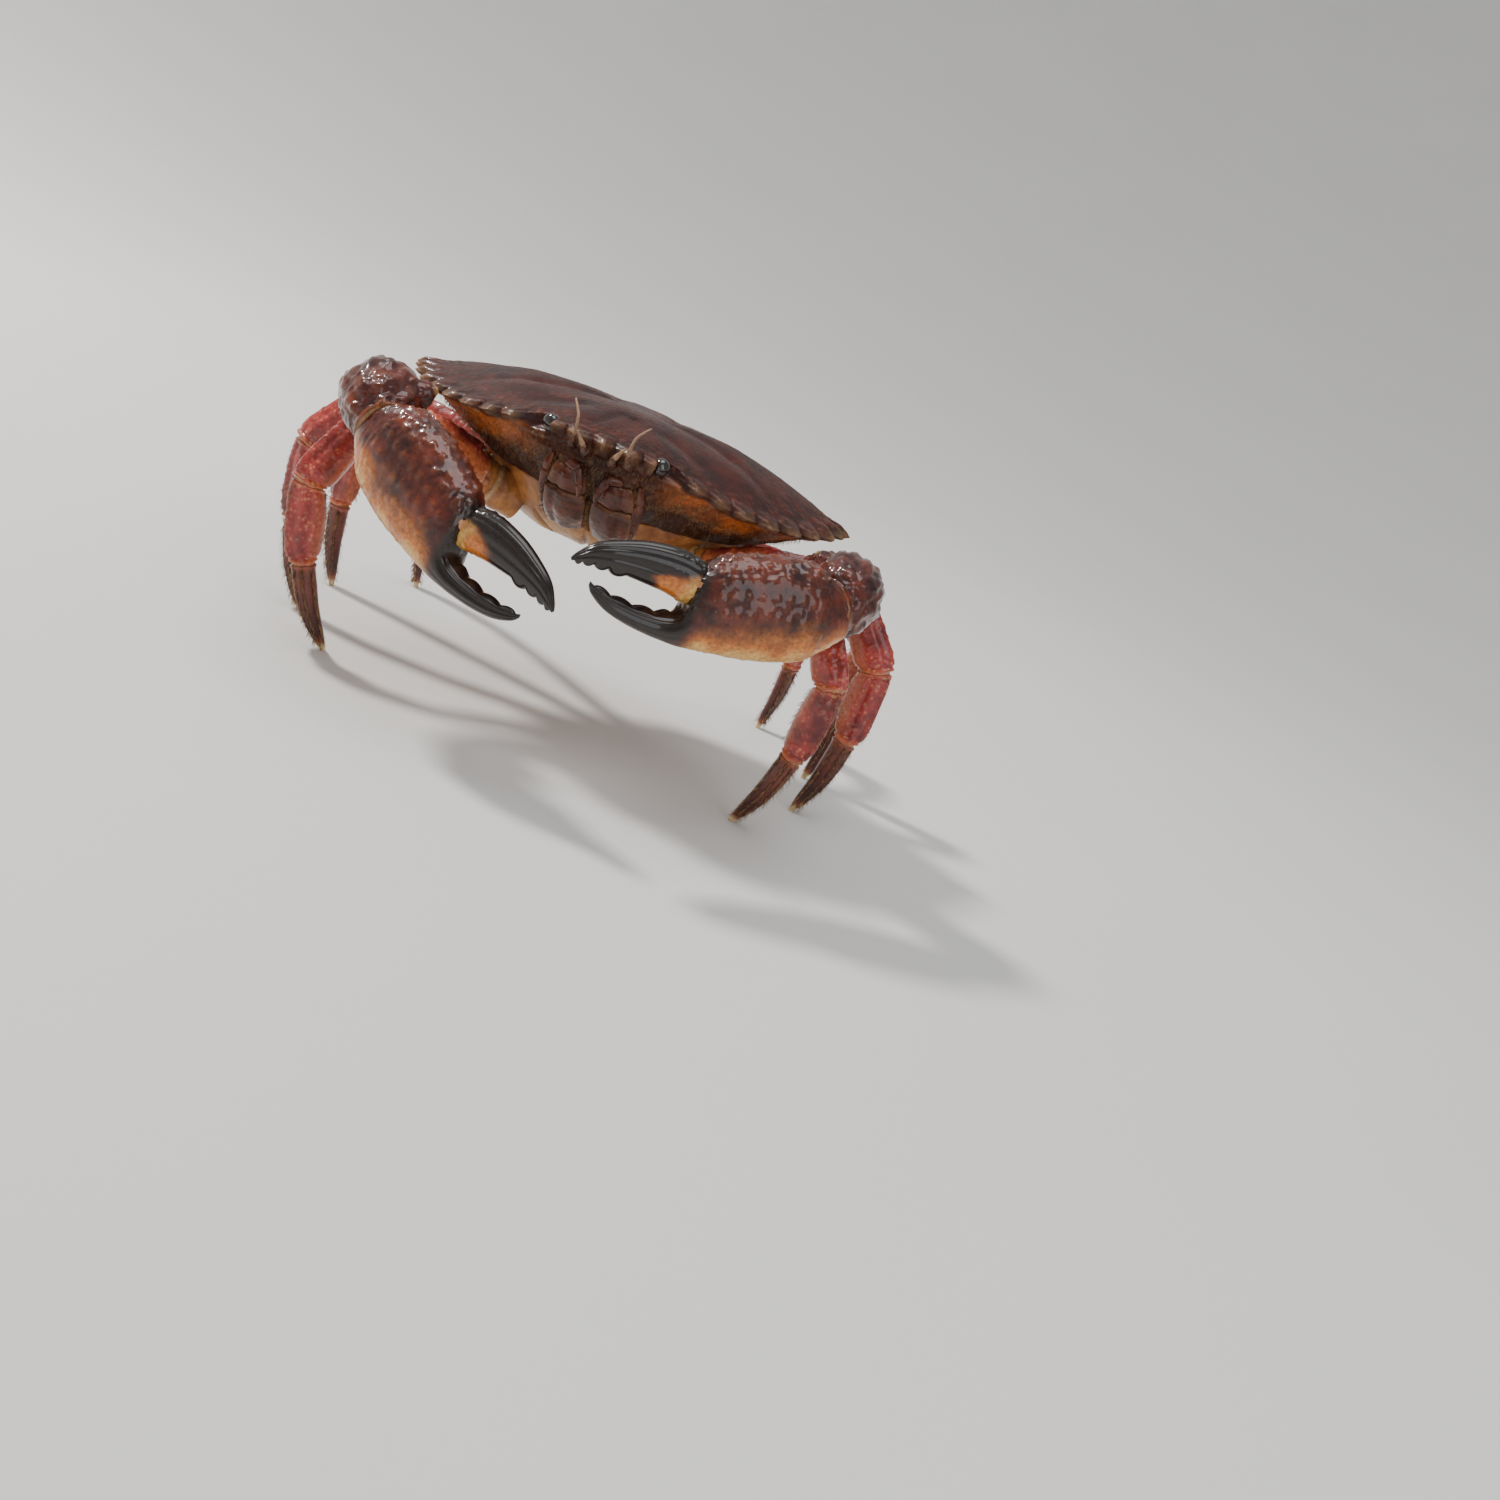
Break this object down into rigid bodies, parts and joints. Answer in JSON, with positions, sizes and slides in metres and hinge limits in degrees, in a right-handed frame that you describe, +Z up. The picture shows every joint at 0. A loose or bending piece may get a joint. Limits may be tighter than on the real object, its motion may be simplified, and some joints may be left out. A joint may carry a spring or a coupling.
{
  "type": "red rock crab",
  "caption": "Life-size still model of a red rock crab standing on its walking legs, black-tipped claws folded in front of its face.",
  "frame": {"origin": "middle of the crab's outline on the floor that its walking legs stand on", "axes": "+X to the crab's left, -Y the way it faces, +Z up"},
  "size_m": [0.1992, 0.1616, 0.1018],
  "materials": {
    "shell": "wet, granular shell, dark maroon brown",
    "underside": "wet, smooth shell, orange to cream",
    "leg": "wet, finely granular shell, red with orange mottling",
    "leg_tip": "ribbed horn, dark red brown with amber tips",
    "claw": "wet, granular shell, red brown above and orange to cream below",
    "claw_finger": "smooth horn, brown black",
    "mouthpart": "smooth plates with a hair fringe, tan brown",
    "eye": "glossy, black",
    "feeler": "ringed, red brown"
  },
  "bodies": {
    "root": {"abdomen": "underside", "antenna_left": "feeler", "antenna_right": "feeler", "antennule_left": "feeler", "antennule_right": "feeler", "carapace": "shell", "claw_carpus_left": "claw", "claw_carpus_right": "claw", "claw_finger_left": "claw_finger", "claw_finger_right": "claw_finger", "claw_hand_left": "claw", "claw_hand_right": "claw", "claw_merus_left": "claw", "claw_merus_right": "claw", "eye_left": "eye", "eye_right": "eye", "leg1_carpus_left": "leg", "leg1_carpus_right": "leg", "leg1_dactyl_left": "leg_tip", "leg1_dactyl_right": "leg_tip", "leg1_merus_left": "leg", "leg1_merus_right": "leg", "leg1_propodus_left": "leg", "leg1_propodus_right": "leg", "leg2_carpus_left": "leg", "leg2_carpus_right": "leg", "leg2_dactyl_left": "leg_tip", "leg2_dactyl_right": "leg_tip", "leg2_merus_left": "leg", "leg2_merus_right": "leg", "leg2_propodus_left": "leg", "leg2_propodus_right": "leg", "leg3_carpus_left": "leg", "leg3_carpus_right": "leg", "leg3_dactyl_left": "leg_tip", "leg3_dactyl_right": "leg_tip", "leg3_merus_left": "leg", "leg3_merus_right": "leg", "leg3_propodus_left": "leg", "leg3_propodus_right": "leg", "leg4_carpus_left": "leg", "leg4_carpus_right": "leg", "leg4_dactyl_left": "leg_tip", "leg4_dactyl_right": "leg_tip", "leg4_merus_left": "leg", "leg4_merus_right": "leg", "leg4_propodus_left": "leg", "leg4_propodus_right": "leg", "maxilliped_left": "mouthpart", "maxilliped_right": "mouthpart", "thorax": "underside"}
  },
  "joints": []
}
